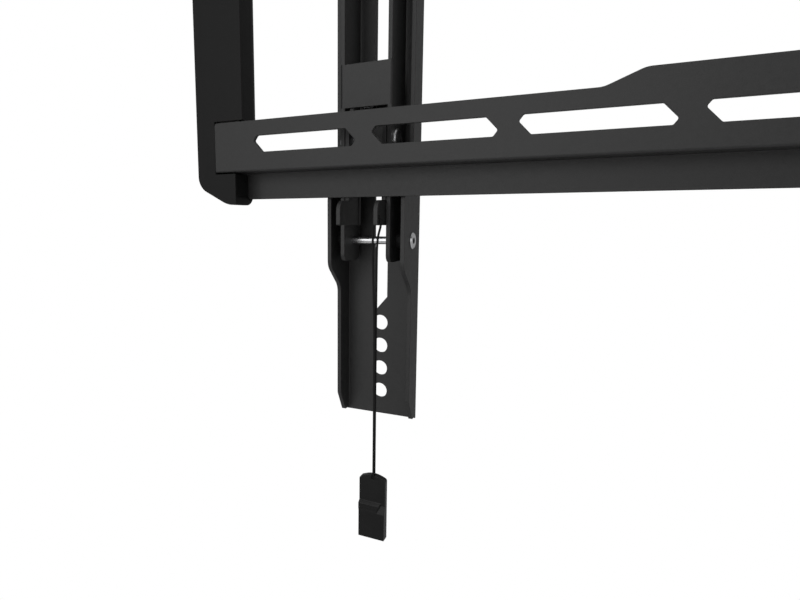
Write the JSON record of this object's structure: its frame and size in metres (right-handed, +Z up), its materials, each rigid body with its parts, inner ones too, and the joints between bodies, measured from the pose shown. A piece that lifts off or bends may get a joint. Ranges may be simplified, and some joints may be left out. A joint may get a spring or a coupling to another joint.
{
  "type": "tilting tv wall bracket",
  "caption": "Low-profile wall frame with hook-on screen arms that slide sideways, tilt forwards on stays and lock with spring latches pulled by cords.",
  "frame": {"origin": "on the wall plane, at the middle of the wall frame", "axes": "+X along the wall to the right as seen from the wall side of the picture, +Y from the wall to the screen, +Z up"},
  "size_m": [0.499, 0.039, 0.4795],
  "materials": {
    "steel": "fine-textured satin black powder coat on cold-rolled steel",
    "plastic": "black moulded plastic, satin",
    "zinc": "bright zinc-plated steel",
    "spring_steel": "zinc-plated spring wire",
    "cord": "black braided cord"
  },
  "bodies": {
    "wall_frame": {"lower_wall_rail": "steel", "upper_wall_rail": "steel", "left_side_cover": "plastic", "right_side_cover": "plastic", "left_tie_strap": "steel", "right_tie_strap": "steel"},
    "left_bracket_body": {"left_hook_bracket": "steel", "left_latch_rivets": "zinc", "left_latch_spring": "spring_steel", "left_stay_rivet": "zinc"},
    "left_arm_body": {"left_screen_arm": "steel", "left_pivot_axle": "zinc", "left_axle_spacers": "plastic"},
    "left_latch_body": {"left_latch": "steel", "left_pull_cord": "cord", "left_pull_tab": "plastic"},
    "left_stay_body": {"left_tilt_stay": "steel", "left_stay_bolt": "zinc", "left_stay_washers": "zinc", "left_stay_nut": "zinc"},
    "right_bracket_body": {"right_hook_bracket": "steel", "right_latch_rivets": "zinc", "right_latch_spring": "spring_steel", "right_stay_rivet": "zinc"},
    "right_arm_body": {"right_screen_arm": "steel", "right_pivot_axle": "zinc", "right_axle_spacers": "plastic"},
    "right_latch_body": {"right_latch": "steel", "right_pull_cord": "cord", "right_pull_tab": "plastic"},
    "right_stay_body": {"right_tilt_stay": "steel", "right_stay_bolt": "zinc", "right_stay_washers": "zinc", "right_stay_nut": "zinc"}
  },
  "joints": [
    {"name": "left_side_slide", "type": "slide", "parent": "wall_frame", "child": "left_bracket_body", "axis": [1, 0, 0], "range_m": [-0.0385, 0.111]},
    {"name": "left_tilt", "type": "hinge", "parent": "left_bracket_body", "child": "left_arm_body", "pos_m": [-0.1611, 0.0267, -0.1184], "axis": [-1, 0, 0], "range_deg": [0, 15]},
    {"name": "left_stay_swing", "type": "hinge", "parent": "left_bracket_body", "child": "left_stay_body", "pos_m": [-0.1457, 0.0267, 0.017], "axis": [-1, 0, 0], "range_deg": [0, 35.3]},
    {"name": "left_latch_slide", "type": "slide", "parent": "left_bracket_body", "child": "left_latch_body", "axis": [0, 0, -1], "range_m": [0, 0.005], "stiffness_N_per_m": 500, "springref_m": -0.004, "deforming": ["left_latch_spring"]},
    {"name": "right_side_slide", "type": "slide", "parent": "wall_frame", "child": "right_bracket_body", "axis": [1, 0, 0], "range_m": [-0.111, 0.0385]},
    {"name": "right_tilt", "type": "hinge", "parent": "right_bracket_body", "child": "right_arm_body", "pos_m": [0.1611, 0.0267, -0.1184], "axis": [-1, 0, 0], "range_deg": [0, 15]},
    {"name": "right_stay_swing", "type": "hinge", "parent": "right_bracket_body", "child": "right_stay_body", "pos_m": [0.1765, 0.0267, 0.017], "axis": [-1, 0, 0], "range_deg": [0, 35.3]},
    {"name": "right_latch_slide", "type": "slide", "parent": "right_bracket_body", "child": "right_latch_body", "axis": [0, 0, -1], "range_m": [0, 0.005], "stiffness_N_per_m": 500, "springref_m": -0.004, "deforming": ["right_latch_spring"]}
  ],
  "couplings": [
    {"joint": "left_stay_swing", "follows": "left_tilt", "ratio": 2.348},
    {"joint": "right_stay_swing", "follows": "right_tilt", "ratio": 2.348}
  ]
}
